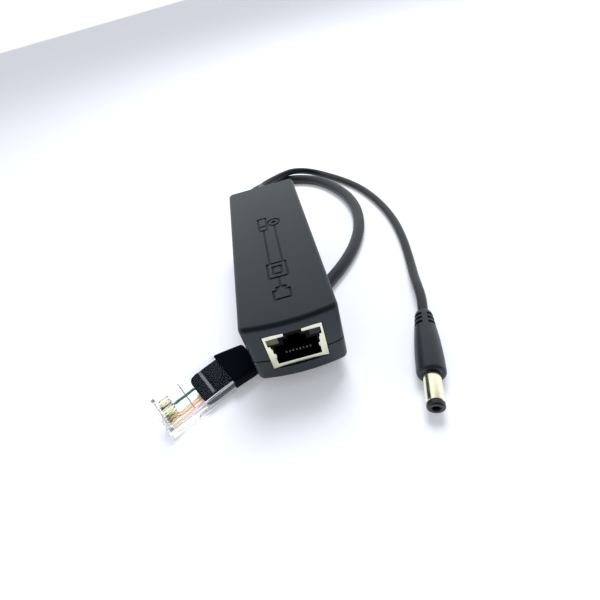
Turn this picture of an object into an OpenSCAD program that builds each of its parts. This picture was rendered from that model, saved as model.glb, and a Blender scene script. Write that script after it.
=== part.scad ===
// PoE splitter: a slim two-part housing with a network socket in its nose,
// and a network lead and a round power lead that leave its tail.
// Millimetres. +X right, +Y towards the tail, +Z up, origin in the middle of the housing.

/* [Housing] */
// Width of the housing
body_w = 27; // [26:0.5:32]
// Length of the housing over the crown of the nose
body_l = 81; // [79:1:95]
// Height of the housing
body_h = 22.4; // [22:0.2:26]
// Thickness of the shell walls
wall = 1.8; // [1.5:0.1:2.1]
// How far the nose bows out in the middle
nose_bow = 1.5; // [1:0.1:2]
// Radius of the upright corners
corner_r = 2; // [1.9:0.1:3]
// Radius of the rim along the sides and tail of the top face
top_rim_r = 1.2; // [0.8:0.1:1.6]
// Radius of the wider rim along the nose of the top face
nose_rim_r = 1.5; // [1.2:0.1:2.2]
// Radius of the rim round the bottom face
base_rim_r = 1.8; // [1:0.1:1.8]

/* [Parting line] */
// Height of the parting line over the middle of the housing
seam_z = -2; // [-2.5:0.1:-1.5]
// Width of the groove that shows between the shells
seam_gap = 0.25; // [0.15:0.05:0.4]
// Depth of the tongue that joins the shells
tongue_h = 1.4; // [1:0.1:2]
// Running clearance between parts that slip into each other
fit = 0.1; // [0.05:0.01:0.15]

/* [Circuit board] */
// Thickness of the circuit board
board_t = 1.6; // [1.2:0.1:1.8]
// Height of the posts under the board
post_h = 1.9; // [1.6:0.1:2.2]
// Outer diameter of the posts
post_d = 3.6; // [3:0.1:4]
// Diameter of the pins that locate the board
pin_d = 1.6; // [1.2:0.1:2]
// Gap between the board's edge and the walls
board_gap = 0.4; // [0.3:0.1:0.8]

/* [Network socket] */
// Width of the socket's shield
jack_w = 16.3; // [15.8:0.1:16.6]
// Height of the socket's shield
jack_h = 13.3; // [13:0.1:13.8]
// Length of the socket's shield
jack_l = 21.5; // [20:0.5:23]
// Thickness of the shield's sheet metal
shield_t = 0.3; // [0.2:0.05:0.4]
// How far the shield's face lies behind the crown of the nose
jack_recess = 0.5; // [0.3:0.1:0.8]
// Gap between the shield and the housing round it
jack_gap = 0.2; // [0.1:0.05:0.3]
// Width of the opening for the plug
socket_w = 12; // [11.8:0.05:12.2]
// Height of the opening for the plug
socket_h = 7; // [6.8:0.05:7.2]
// Depth of the opening for the plug
socket_l = 13; // [12:0.5:14]
// Height of the sill under the opening
socket_sill = 1.5; // [1.4:0.1:1.7]
// Width of the keyway for the plug's latch
keyway_w = 6.4; // [6:0.1:6.6]
// Height of the keyway for the plug's latch
keyway_h = 2; // [1.8:0.1:2.2]
// Width of a signal light
light_w = 3.1; // [2.8:0.1:3.2]
// Height of a signal light
light_h = 2.4; // [2:0.1:2.5]
// Spacing of the contacts in the socket and in the plug
contact_pitch = 1.02; // [0.98:0.01:1.04]
// Number of contacts
contact_n = 8; // [8]

/* [Leads] */
// Diameter of the network cable
network_d = 4.8; // [4.4:0.1:5.2]
// Diameter of the power cord
power_d = 3.2; // [2.8:0.1:3.6]
// Distance of each lead from the middle of the tail
lead_x = 6; // [5.5:0.1:7]
// Length of the strain reliefs outside the tail
relief_l = 9; // [7:0.5:12]
// Thickness of rubber round a lead at the wall
relief_t = 1.5; // [1.2:0.1:1.8]
// Clearance between the housing and the cable that it lies on
rest_gap = 0.2; // [0.1:0.05:0.3]

/* [Network plug] */
// Length of the clear plug body
plug_l = 22.2; // [21:0.1:22.5]
// Width of the clear plug body
plug_w = 11.7; // [11.6:0.05:11.8]
// Height of the clear plug body
plug_h = 6.6; // [6.5:0.05:6.8]
// Turn of the plug about its own length, as it lies on its latch
plug_roll = -17.5; // [-19:0.5:-15]
// Length of the rubber boot behind the plug
boot_l = 9.6; // [9:0.1:12]

/* [Power plug] */
// Diameter of the plug's metal barrel
barrel_d = 4.8; // [4.7:0.1:5.6]
// Length of the plug's metal barrel
barrel_l = 10; // [9:0.5:14]
// Diameter of the hole for the centre pin
pin_hole_d = 1.7; // [1.6:0.05:1.8]
// Largest diameter of the moulded grip
grip_d = 8; // [7.8:0.1:10]
// Length of the moulded grip
grip_l = 23.5; // [23:0.1:30]

/* [Hidden] */
$fn = 64;
eps = 0.01;

// The bowed nose is an arc about a point on the middle line
nose_r = (pow(body_w / 2, 2) + pow(nose_bow, 2)) / (2 * nose_bow);
nose_y = -body_l / 2;
nose_centre = [0, nose_y + nose_r];
tail_y = body_l / 2;
floor_in_z = -body_h / 2 + wall;
roof_in_z = body_h / 2 - wall;
tongue_t = wall / 2 - fit / 2;

// The table that the leads and the housing lie on
table_z = -body_h / 2 - rest_gap - network_d;

// The board stands on its posts, and the socket on the board
board_z = floor_in_z + post_h;
board_top = board_z + board_t;
board_w = body_w - 2 * wall - 2 * board_gap;
board_front = nose_y + nose_bow + wall + board_gap;
relief_flange_t = 1.5;
relief_in_y = tail_y - wall - fit - relief_flange_t;
board_back = relief_in_y - board_gap;
jack_y = nose_y + jack_recess;
// Parts on the board are counted back from the socket
row_y = jack_y + jack_l;
// The tall parts fill the room between the posts and under the roof
room_h = roof_in_z - board_top;
roof_gap = 2.5;
core_foot = 0.8;
core_w = board_w - 2 * post_d - board_gap;
core_l = 10;
core_h = room_h - core_foot - roof_gap;
core_y = 35.6;
post_x = board_w / 2 - post_d / 2;
post_front_y = row_y + post_d / 2 + board_gap;
post_back_y = row_y + core_y + core_l / 2 + board_gap / 2;
socket_z = board_top + socket_sill;
light_x = jack_w / 2 - 0.7 - light_w;
light_z = board_top + jack_h - 1.5 - light_h;

// Network lead: points of its middle line, and how far each is lifted off the table
network_route = [[-6.6, 59, 10.6], [-8, 65, 7.9], [-10, 71, 4.6], [-11.5, 77, 1.7],
    [-11, 83, 0.2], [-8, 87.8, 0], [-3, 91.4, 0], [3, 93.5, 0], [9.5, 93.7, 0],
    [16, 92, 0], [21.8, 88.9, 0], [26.8, 84.7, 0], [31, 79.3, 0], [34.2, 73, 0],
    [36.6, 66.5, 0], [38.4, 59.5, 0], [39.3, 52.5, 0], [39.4, 45.5, 0], [38.6, 38.5, 0],
    [37, 31.5, 0], [34.5, 24.5, 0], [30.8, 17.2, 0], [26.4, 10.7, 0], [21.8, 5.2, 0],
    [17.3, 0.6, 0], [12.2, -4.7, 0], [7, -10, 0], [1.8, -15.3, 0], [-3.4, -20.3, 0],
    [-8.7, -24.2, 0], [-15.7, -28.2, 0]];

// Power lead: the same, ending where the cord enters the plug's grip
power_route = [[5.2, 58.5, 12.1], [2.9, 63.8, 11], [0.3, 69, 9.7], [-1.1, 74.7, 8.4],
    [-0.3, 80, 7.3], [2.7, 84.3, 6.5], [6.6, 87.9, 5.8], [11.3, 91.3, 5.2],
    [16.7, 94, 4.5], [22, 95.4, 3], [27, 95.2, 1.3], [31.3, 92.4, 0.3],
    [35, 87.6, 0], [39, 81, 0], [43, 73.4, 0], [46.5, 65, 0], [49, 56, 0],
    [50.6, 47, 0], [51.5, 37.7, 0], [51.6, 28.7, 0], [51, 20.2, 0], [49.9, 12, 0],
    [48.4, 4, 0], [46.8, -3.3, 0.2], [45.2, -10, 0.9], [43.8, -16.4, 2],
    [42.5, -22.4, 2.5], [40.34, -29.24, 2.5]];

// Each lead leaves its strain relief straight before it follows its route
straight_out = 4;
function on_table(x, route, d) = concat(
    [for (y = [0, straight_out]) [x, tail_y + relief_l + y, seam_z]],
    [for (p = route) [p[0], p[1], table_z + d / 2 + p[2]]]);
network_points = on_table(-lead_x, network_route, network_d);
power_points = on_table(lead_x, power_route, power_d);

// The plugs lie where their leads end
function last(list) = list[len(list) - 1];
function end_heading(list) =
    let (v = last(list) - list[len(list) - 2]) atan2(v[1], v[0]);
network_heading = end_heading(network_points);
power_heading = end_heading(power_points);
plug_lift = 8.2;
boot_tail = last(network_points);
plug_at = [boot_tail[0] + boot_l * cos(network_heading),
    boot_tail[1] + boot_l * sin(network_heading), table_z + plug_lift];
power_plug_at = last(power_points);

// Curves and outlines

// Points of an arc from angle a to angle b in n steps
function arc(centre, r, a, b, n) =
    [for (k = [0:n]) centre + r * [cos(a + (b - a) * k / n), sin(a + (b - a) * k / n)]];
function tail_of(list) = [for (k = [1:len(list) - 1]) list[k]];

// Plan of the housing, drawn in by an even inset from its outer wall
function outline(inset) =
    let (half = body_w / 2 - inset,
        r = max(corner_r - inset, 0.3),
        big = nose_r - inset,
        cx = half - r,
        cy = nose_centre[1] - sqrt(pow(big - r, 2) - pow(cx, 2)),
        lean = asin(cx / (big - r)),
        back = tail_y - inset - r)
    concat(
        arc(nose_centre, big, -90 - lean, -90 + lean, 14),
        tail_of(arc([cx, cy], r, -90 + lean, 0, 5)),
        arc([cx, back], r, 0, 90, 5),
        arc([-cx, back], r, 90, 180, 5),
        [for (p = arc([-cx, cy], r, 180, 270 - lean, 5)) if (p[1] > cy - r * cos(lean) + eps) p]);
function raised(points, z) = [for (p = points) [p[0], p[1], z]];

// A rectangle with round corners, drawn as four arcs
function soft_rect(hw, hh, r) = concat(
    arc([hw - r, -hh + r], r, -90, 0, 4),
    arc([hw - r, hh - r], r, 0, 90, 4),
    arc([-hw + r, hh - r], r, 90, 180, 4),
    arc([-hw + r, -hh + r], r, 180, 270, 4));

// A closed skin through rings of points, the first and last ring capped
module loft(rings) {
    n = len(rings[0]);
    m = len(rings);
    polyhedron(
        points = [for (r = rings) each r],
        faces = concat(
            [[for (i = [0:n - 1]) i]],
            [[for (i = [n - 1:-1:0]) (m - 1) * n + i]],
            [for (k = [0:m - 2], i = [0:n - 1])
                [k * n + i, (k + 1) * n + i, (k + 1) * n + (i + 1) % n]],
            [for (k = [0:m - 2], i = [0:n - 1])
                [k * n + i, (k + 1) * n + (i + 1) % n, k * n + (i + 1) % n]]),
        convexity = 6);
}

function unit(v) = v / norm(v);
function heading_at(p, i) =
    unit(p[min(i + 1, len(p) - 1)] - p[max(i - 1, 0)]);

// The ring of a round tube, square to the tube's middle line; axis is never along that line
function tube_ring(c, t, r, n, axis) =
    let (side = unit(cross(axis, t)), up = cross(t, side))
    [for (k = [0:n - 1]) c + r * (cos(360 * k / n) * side + sin(360 * k / n) * up)];
module tube(points, d, sides, axis = [0, 0, 1]) {
    loft([for (i = [0:len(points) - 1])
        tube_ring(points[i], heading_at(points, i), d / 2, sides, axis)]);
}

// The outline of a bent strip of even thickness
function perp(v) = [-v[1], v[0]];
function mitre(p, i) =
    let (a = i == 0 ? unit(p[1] - p[0]) : unit(p[i] - p[i - 1]),
        b = i == len(p) - 1 ? a : unit(p[i + 1] - p[i]),
        n = unit(perp(a) + perp(b)))
    n / (n * perp(a));
function strip(p, t) = concat(
    [for (i = [0:len(p) - 1]) p[i] + mitre(p, i) * t / 2],
    [for (i = [len(p) - 1:-1:0]) p[i] - mitre(p, i) * t / 2]);

// Stands an outline drawn in Y and Z up across the X axis, w wide
module across_x(points, w) {
    translate([-w / 2, 0, 0])
        rotate([90, 0, 90])
            linear_extrude(w)
                polygon(points);
}

// A box centred in X and Y that stands on z = 0
module block(size) {
    translate([-size[0] / 2, -size[1] / 2, 0])
        cube(size);
}

// Housing shells

// How much of the nose's rim a point of the outline has: all on the nose, none on the sides
function nose_share(p) = max(0, min(1, (nose_y + nose_bow + corner_r - p[1]) / corner_r));
function base_rim_rings() =
    [for (a = [90:-15:0])
        raised(outline(base_rim_r * (1 - cos(a))), -body_h / 2 + base_rim_r * (1 - sin(a)))];
function top_rim_rings() =
    [for (a = [0:15:90])
        let (side = outline(top_rim_r * (1 - cos(a))), nose = outline(nose_rim_r * (1 - cos(a))))
        [for (k = [0:len(side) - 1])
            let (w = nose_share(outline(0)[k]),
                p = side[k] * (1 - w) + nose[k] * w,
                r = top_rim_r * (1 - w) + nose_rim_r * w)
            [p[0], p[1], body_h / 2 - r * (1 - sin(a))]]];

module plan(inset, z0, z1) {
    translate([0, 0, z0])
        linear_extrude(z1 - z0)
            polygon(outline(inset));
}

// Where the socket's shield passes through the nose
module jack_window() {
    translate([0, jack_y - wall, board_top - jack_gap])
        block([jack_w + 2 * jack_gap, 4 * wall + 2 * nose_bow, jack_h + 2 * jack_gap]);
}

// The round seats of the two strain reliefs in the tail wall
module relief_seats() {
    for (lead = [[-lead_x, network_d], [lead_x, power_d]])
        translate([lead[0], tail_y - wall - 1, seam_z])
            rotate([-90, 0, 0])
                cylinder(d = lead[1] + 2 * relief_t, h = wall + 2);
}

module at_posts() {
    for (x = [-post_x, post_x], y = [post_front_y, post_back_y])
        translate([x, y, 0])
            children();
}

module top_cover() {
    color("#3d4241")
    difference() {
        union() {
            difference() {
                loft(concat([raised(outline(0), seam_z)], top_rim_rings()));
                plan(wall, seam_z - 1, roof_in_z);
            }
            // Tongue that drops inside the bottom shell
            difference() {
                plan(wall - tongue_t, seam_z - tongue_h, seam_z);
                plan(wall, seam_z - tongue_h - 1, seam_z + 1);
            }
            // Columns that hold the board down on its posts
            at_posts()
                translate([0, 0, board_top])
                    cylinder(d = post_d, h = roof_in_z - board_top + eps);
        }
        jack_window();
        relief_seats();
        at_posts()
            translate([0, 0, board_top - eps])
                cylinder(d = pin_d + 4 * fit, h = pin_d);
    }
}

module bottom_shell() {
    color("#35383c")
    difference() {
        union() {
            difference() {
                loft(concat(base_rim_rings(), [raised(outline(0), seam_z - seam_gap)]));
                plan(wall, floor_in_z, seam_z + 1);
                // Rebate that the cover's tongue drops into
                plan(wall - tongue_t - fit, seam_z - tongue_h, seam_z + 1);
            }
            // Posts under the board, with a locating pin on each
            at_posts() {
                translate([0, 0, floor_in_z - eps])
                    cylinder(d = post_d, h = post_h + eps);
                translate([0, 0, floor_in_z])
                    cylinder(d = pin_d, h = post_h + board_t + pin_d / 2);
            }
            // Ribs that carry the board under the socket
            for (side = [-1, 1])
                translate([side * (jack_w / 2 - 2.2), board_front + jack_l / 2, floor_in_z - eps])
                    block([wall / 2, jack_l * 0.8, post_h + eps]);
            // Rib across the back end of the board
            translate([0, board_back - 1, floor_in_z - eps])
                block([board_w, wall / 2, post_h + eps]);
        }
        jack_window();
        relief_seats();
    }
}

// Network socket

// Half of the cut-out in the shield's face, from the bottom middle upwards
function shield_cut(side) =
    let (z0 = board_top, zt = board_top + jack_h, x = jack_w / 2)
    [for (p = [[0, z0 + 1.5], [x - 1.8, z0 + 1.5], [x - 1.8, z0 + 4.2], [x - 2.1, z0 + 4.5],
        [x - 2.1, z0 + 5.8], [x - 1.6, z0 + 6.1], [x - 1.6, z0 + 8], [x - 1.3, z0 + 8.3],
        [x - 1.3, light_z - 0.1], [light_x + light_w + 0.05, light_z - 0.1],
        [light_x + light_w + 0.05, zt - 1.4], [2.5, zt - 1.4], [2.5, zt + 1], [0, zt + 1]])
        [side * p[0], p[1]]];
module facing(z_shift, depth) {
    translate([0, depth + z_shift, 0])
        rotate([90, 0, 0])
            linear_extrude(depth)
                children();
}

module jack_shield() {
    color("#cfc9b4") {
        difference() {
            translate([0, jack_y + jack_l / 2, board_top])
                block([jack_w, jack_l, jack_h]);
            translate([0, jack_y + jack_l / 2, board_top - 1])
                block([jack_w - 2 * shield_t, jack_l - 2 * shield_t, jack_h + 1 - shield_t]);
            facing(jack_y - 1, shield_t + 2) {
                polygon(shield_cut(1));
                polygon(shield_cut(-1));
            }
        }
        // Legs that are soldered through the board
        for (side = [-1, 1])
            translate([side * (jack_w - shield_t) / 2, jack_y + jack_l * 0.6, board_z - 0.6])
                block([shield_t, 1.6, board_t + 0.7]);
    }
}

// Bar of a signal light behind the shield's face, grown on all sides by grow
module light_bar(side, grow) {
    translate([side * (light_x + light_w / 2), jack_y + shield_t + fit + 4 - grow / 2,
        light_z - grow])
        block([light_w + 2 * grow, 8 + grow, light_h + 2 * grow]);
}

module jack_insert() {
    insert_w = jack_w - 2 * shield_t - 2 * fit;
    insert_l = jack_l - 2 * shield_t - 2 * fit;
    insert_h = jack_h - shield_t - fit;
    front = jack_y + shield_t + fit;
    channel_front = jack_y + channel_y - 0.7;
    color("#17181b")
    difference() {
        translate([0, front + insert_l / 2, board_top])
            block([insert_w, insert_l, insert_h]);
        // Opening for the plug, and the keyway for its latch
        translate([0, front + socket_l / 2 - 0.5, socket_z])
            block([socket_w, socket_l + 1, socket_h]);
        translate([0, front + socket_l / 2 - 0.5, socket_z + socket_h - 1])
            block([keyway_w, socket_l + 1, keyway_h + 1]);
        translate([0, front + socket_l / 2 - 0.5, socket_z + socket_h + keyway_h - 1])
            block([keyway_w * 0.55, socket_l + 1, 2]);
        for (side = [-1, 1])
            light_bar(side, fit / 2);
        // Comb of channels for the contacts, and holes for their legs
        for (k = [0:contact_n - 1])
            translate([contact_x(k), 0, 0]) {
                translate([0, (channel_front + contact_leg_y(k)) / 2 + 0.3, socket_z - contact_t * 2])
                    block([contact_w + 2 * fit, contact_leg_y(k) - channel_front + 0.6,
                        contact_t * 3]);
                translate([0, contact_leg_y(k), board_top - 1])
                    block([contact_w + 2 * fit, contact_t + 2 * fit, socket_sill + 1.2]);
            }
    }
}

contact_w = 0.45;
contact_t = 0.3;
// Where the contacts turn, behind the socket's face
channel_y = 3.6;
function contact_x(k) = (k - (contact_n - 1) / 2) * contact_pitch;
function contact_leg_y(k) = jack_y + socket_l + (k % 2 == 0 ? 2.6 : 5.1);

// Each contact runs forward in its channel, turns round the sill and rises towards the back
module jack_contacts() {
    lip = jack_y + channel_y;
    z = socket_z - contact_t * 1.4;
    color("#cfae5a")
    for (k = [0:contact_n - 1])
        translate([contact_x(k), 0, 0])
            across_x(strip([[contact_leg_y(k), board_z - 0.8], [contact_leg_y(k), z], [lip, z],
                [lip - 0.2, z + 0.55], [lip + 0.4, z + 0.95],
                [jack_y + socket_l - 0.8, z + 2.5]], contact_t), contact_w);
}

module link_light() {
    color("#a9a84c") light_bar(-1, 0);
}

module activity_light() {
    color("#4a4f55") light_bar(1, 0);
}

// Circuit board and what it carries

module circuit_board() {
    color("#2f6b45")
    difference() {
        translate([0, (board_front + board_back) / 2, board_z])
            block([board_w, board_back - board_front, board_t]);
        at_posts()
            translate([0, 0, board_z - 1])
                cylinder(d = pin_d + 2 * fit, h = board_t + 2);
        for (side = [-1, 1])
            translate([side * (jack_w - shield_t) / 2, jack_y + jack_l * 0.6, board_z - 1])
                block([shield_t + 4 * fit, 1.6 + 4 * fit, board_t + 2]);
        for (k = [0:contact_n - 1])
            translate([contact_x(k), contact_leg_y(k), board_z - 1])
                block([contact_w + 2 * fit, contact_t + 2 * fit, board_t + 2]);
        for (k = [0:core_n - 1])
            translate([network_lead_x(k), lead_pad_y, board_z - 1])
                block([core_d + 2 * fit, core_d + 2 * fit, board_t + 2]);
        for (side = [-1, 1])
            translate([lead_x + side * power_core_d, lead_pad_y, board_z - 1])
                block([power_core_d + 2 * fit, power_core_d + 2 * fit, board_t + 2]);
    }
}

// A flat moulded chip with legs along two sides, its legs spreading along X
module chip(body, legs, pitch, span) {
    translate([0, 0, 0.1])
        block(body);
    for (side = [-1, 1], k = [0:legs - 1])
        translate([side * (body[0] / 2 + span) / 2, (k - (legs - 1) / 2) * pitch, 0])
            block([span - body[0] / 2, 0.4, 0.5]);
}

// A round can capacitor with a bead rolled into it near the board
module can_capacitor(d, h) {
    difference() {
        cylinder(d = d, h = h);
        translate([0, 0, 1.6])
            rotate_extrude()
                translate([d / 2 + 0.25, 0])
                    circle(d = 1, $fn = 24);
        // Safety cross in the top of the can
        for (a = [0, 90])
            rotate(a)
                translate([0, 0, h - 0.2])
                    block([d * 0.6, 0.3, 1]);
    }
}

module on_board(x, y) {
    translate([x, row_y + y, board_top])
        children();
}

module data_transformer() {
    color("#26282b") on_board(-5.2, 10.4) chip([7.2, 12, 5.4], 8, 1.27, 4.6);
}

module bridge_rectifiers() {
    color("#232326")
    for (y = [6.8, 12.4])
        on_board(5.6, y) chip([3.9, 4.8, 2.6], 2, 2.5, 3.3);
}

module input_capacitor() {
    color("#20303f") on_board(6.2, 19.4) can_capacitor(8, room_h - roof_gap - core_foot);
}

module power_controller() {
    color("#1f2022") on_board(-6.2, 19.3) chip([3.9, 4.9, 1.5], 4, 1.27, 3.1);
}

module switching_transistor() {
    color("#242528")
    on_board(-7.9, 26) {
        block([6.5, 5.4, 2.2]);
        translate([0, 3, 0]) block([5.2, 1.4, 0.6]);
        for (side = [-1, 1])
            translate([side * 2.2, -3.2, 0]) block([0.8, 1.8, 0.6]);
    }
}

module optocoupler() {
    color("#303236") on_board(-0.4, 19.9) rotate(90) chip([4.4, 3.6, 2], 2, 2.2, 3.3);
}

module output_diode() {
    color("#28292b") on_board(7.8, 26.2) chip([4.4, 3.6, 2.2], 1, 1, 2.7);
}

// Two ferrite halves that close round the winding: a frame with a middle leg
module transformer_core() {
    color("#4a4b4d")
    on_board(0, core_y)
        translate([0, 0, core_foot])
            difference() {
                block([core_w, core_l, core_h]);
                for (side = [-1, 1])
                    translate([side * core_w * 0.26, 0, 2.4])
                        block([core_w * 0.24, core_l + 2, core_h - 4.8]);
            }
}

module transformer_winding() {
    window_h = core_h - 4.8;
    color("#c8a13a")
    on_board(0, core_y) {
        difference() {
            translate([0, 0, 3.3])
                block([core_w * 0.76 - 0.4, core_l + 4.4, window_h - 0.2]);
            translate([0, 0, 3])
                block([core_w * 0.28 + 0.4, core_l + 0.4, window_h + 2]);
            // Room for the outer legs of the core
            for (side = [-1, 1])
                translate([side * core_w / 2, 0, 0])
                    block([core_w * 0.24 + 0.4, core_l + 0.4, core_h + 4]);
        }
        for (side = [-1, 1])
            translate([0, side * (core_l / 2 + 1.4), 0])
                block([core_w * 0.6, 1.2, 3.4]);
    }
}

module output_capacitors() {
    color("#1f2d3a")
    for (x = [-1.2, 6.2])
        on_board(x, 46.8) can_capacitor(6.3, room_h - roof_gap - 1.8);
}

module output_inductor() {
    color("#3b3c3e")
    on_board(-7.6, 46.6) {
        block([6, 6, 2.8]);
        translate([0, 0, 2.8]) cylinder(d = 4.4, h = 0.3);
    }
}

// Leads inside the tail, from each cable's end down to the board
core_d = 0.9;
power_core_d = 1.2;
lead_pad_y = tail_y - wall - 6;
core_n = 4;
function network_lead_x(k) = -lead_x + (k - (core_n - 1) / 2) * 2 * core_d;

// A wire that leaves the cable's end, then turns down through the board
module bent_wire(x_start, x_end, y_end, z, d) {
    tube([[x_start, relief_in_y, z], [x_start, relief_in_y - 0.8, z],
        [(x_start + x_end) / 2, y_end + 1.5, z - 0.4], [x_end, y_end + 0.4, z - 1.3],
        [x_end, y_end, z - 2.2], [x_end, y_end, board_z - 0.6]], d, 8, [1, 0, 0]);
}

// The cores leave the cable side by side and spread to their pads
module network_leads() {
    color("#d9702a")
    for (k = [0:core_n - 1])
        bent_wire(-lead_x + (k - (core_n - 1) / 2) * core_d, network_lead_x(k), lead_pad_y,
            seam_z, core_d - fit);
}

module power_leads() {
    color("#b03028")
    for (side = [-1, 1])
        bent_wire(lead_x + side * power_core_d / 2, lead_x + side * power_core_d, lead_pad_y,
            seam_z, power_core_d - fit);
}

// A rubber bush held in the tail wall, tapering out along the lead
module strain_relief(x, d) {
    seat = d + 2 * relief_t - 2 * fit;
    collar = seat + 2 * relief_t;
    translate([x, 0, seam_z])
        rotate([-90, 0, 0])
            rotate_extrude()
                polygon([[0, relief_in_y], [collar / 2, relief_in_y],
                    [collar / 2, relief_in_y + relief_flange_t],
                    [seat / 2, relief_in_y + relief_flange_t], [seat / 2, tail_y + fit],
                    [collar / 2 - 0.3, tail_y + fit], [collar / 2, tail_y + 0.5],
                    [collar / 2 - 0.3, tail_y + 1.3], [seat / 2, tail_y + 1.8],
                    [d / 2 + 0.5, tail_y + relief_l], [0, tail_y + relief_l]]);
}

module network_strain_relief() {
    color("#202224") strain_relief(-lead_x, network_d);
}

module power_strain_relief() {
    color("#202224") strain_relief(lead_x, power_d);
}

// Leads that lie on the table

module network_cable() {
    color("#24282e") tube(network_points, network_d, 12);
}

module power_cord() {
    color("#222528") tube(power_points, power_d, 8);
}

// Network plug: X runs to its tip, Z stands on its contact side, origin behind its top edge

module at_plug() {
    translate(plug_at)
        rotate([plug_roll, 0, network_heading])
            children();
}

cavity_w = 9.7;
cavity_h = 5;
cavity_l = 10;
cavity_top = -0.9;
// Middles of the bar pressed over the boot and of the crease over the wires
press_x = 6;
crease_x = 12.9;
wire_z = -3.5;
wire_end = plug_l - 1.6;
// Slots of the plug that hold a wire
data_slots = [2, 5, 6, 7];
blade_front = plug_l - 1.8;
blade_back = plug_l - 5.2;
nose_gap = 0.15;
// How far the middle of the boot's tail lies over the middle of the cable
boot_lift = 1.8;

module network_plug_body() {
    color("#dfe6e8", 0.5)
    at_plug() {
        difference() {
            translate([plug_l / 2, 0, -plug_h])
                block([plug_l, plug_w, plug_h]);
            // Chamfers along the top and round the tip
            for (side = [-1, 1])
                translate([-1, side * plug_w / 2, 0])
                    rotate([45, 0, 0])
                        translate([0, -0.25, -0.25])
                            cube([plug_l + 2, 0.5, 0.5]);
            translate([plug_l, 0, 0])
                rotate([0, 45, 0])
                    block([0.8, plug_w + 1, 0.8]);
            // Cavity for the boot, then the slot for the wires
            translate([cavity_l / 2 - 0.5, 0, cavity_top - cavity_h])
                block([cavity_l + 1, cavity_w, cavity_h]);
            translate([(wire_end + cavity_l) / 2, 0, wire_z - (core_d + fit) / 2])
                block([wire_end - cavity_l + 1, contact_n * contact_pitch + fit, core_d + fit]);
            // A slot over each contact
            for (k = [0:contact_n - 1])
                translate([(blade_back + plug_l) / 2 + 0.5, contact_x(k), wire_z])
                    block([plug_l - blade_back + 1 + fit, contact_w + fit, -wire_z + 1]);
            // Recesses pressed into the top over the boot and over the wires
            translate([press_x, 0, -0.5])
                block([1.4, cavity_w - 1, 1]);
            translate([crease_x, 0, -0.3])
                block([0.3, cavity_w, 1]);
        }
        // Latch, pressed up towards the body where the plug lies on it
        latch_part([[plug_l - 0.7, -plug_h - 0.1], [plug_l - 2.6, -plug_h - 0.6],
                [plug_l * 0.58, -plug_h - 0.68]], 5.8);
        latch_part([[plug_l * 0.6, -plug_h - 0.68], [3.2, -plug_h - 0.75]], 3.2);
    }
}
module latch_part(points, w) {
    translate([0, w / 2, 0])
        rotate([90, 0, 0])
            linear_extrude(w)
                polygon(strip(points, 0.6));
}

module network_plug_contacts() {
    color("#d8b048")
    at_plug()
        for (k = [0:contact_n - 1])
            translate([0, contact_x(k) + contact_w / 2 - fit / 2, 0])
                rotate([90, 0, 0])
                    linear_extrude(contact_w - fit)
                        polygon(blade());
}
// A contact blade with a rounded shoulder and two teeth that bite into its wire
function blade() =
    let (z0 = wire_z + core_d / 2, z1 = -0.4, mid = (blade_back + blade_front) / 2)
    concat([[blade_back, z0 + 0.9], [blade_back, z1]],
        arc([blade_front - 0.7, z1 - 0.7], 0.7, 90, 0, 4),
        [[blade_front, z0 + 0.9], [mid + 1.4, z0 + 0.9], [mid + 1.1, z0], [mid + 0.8, z0 + 0.9],
        [mid - 0.8, z0 + 0.9], [mid - 1.1, z0], [mid - 1.4, z0 + 0.9]]);

// The two data pairs: the power pairs end on the board, and aren't in this lead
module network_plug_wires() {
    colours = ["#2f8f5a", "#d8e8d8", "#e07028", "#e8c8b0"];
    at_plug()
        for (k = [0:len(data_slots) - 1])
            color(colours[k])
                translate([cavity_l, contact_x(data_slots[k]), wire_z])
                    rotate([0, 90, 0])
                        cylinder(d = core_d, h = wire_end - cavity_l - fit, $fn = 24);
}

// Boot sections: place along the plug, middle, half width, half height, turn and corner
function boot_ring(x, y, z, hw, hh, roll, r) =
    [for (p = soft_rect(hw, hh, r))
        [x, y + p[0] * cos(roll) - p[1] * sin(roll), z + p[0] * sin(roll) + p[1] * cos(roll)]];
// The middle of the plug's depth, seen in the frame that isn't rolled
function rolled(z) = [-z * sin(plug_roll), z * cos(plug_roll)];

module network_plug_boot() {
    tail_z = boot_tail[2] + boot_lift - plug_at[2];
    body_mid = rolled(-plug_h / 2);
    nose_mid = rolled(cavity_top - cavity_h / 2);
    nose_hw = cavity_w / 2 - nose_gap;
    nose_hh = cavity_h / 2 - nose_gap;
    back_hw = plug_w / 2 - 0.15;
    color("#15171a")
    translate(plug_at)
        rotate([0, 0, network_heading])
            loft([
                boot_ring(-boot_l, 0, tail_z, back_hw - 0.9, plug_h / 2 - 0.7, plug_roll, 1.9),
                boot_ring(-boot_l + 0.6, 0, tail_z, back_hw - 0.4, plug_h / 2 - 0.2, plug_roll, 2),
                boot_ring(-boot_l * 0.66, body_mid[0] * 0.3, tail_z * 0.72 + body_mid[1] * 0.28,
                    back_hw - 0.2, plug_h / 2 - 0.15, plug_roll, 1.7),
                boot_ring(-boot_l * 0.3, body_mid[0] * 0.75, tail_z * 0.25 + body_mid[1] * 0.75,
                    back_hw - 0.1, plug_h / 2 - 0.1, plug_roll, 1.2),
                boot_ring(-0.6, body_mid[0], body_mid[1], back_hw, plug_h / 2 - 0.1, plug_roll, 0.9),
                boot_ring(-nose_gap, body_mid[0], body_mid[1], back_hw - 0.2, plug_h / 2 - 0.3,
                    plug_roll, 0.8),
                boot_ring(-nose_gap + eps, nose_mid[0], nose_mid[1], nose_hw, nose_hh, plug_roll, 0.8),
                boot_ring(cavity_l - 1.4, nose_mid[0], nose_mid[1], nose_hw, nose_hh, plug_roll, 0.8),
                boot_ring(cavity_l - nose_gap, nose_mid[0], nose_mid[1],
                    nose_hw - 0.9, nose_hh - 0.5, plug_roll, 0.7)]);
}

// Power plug: X runs to its tip, origin where the cord enters the grip

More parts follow.
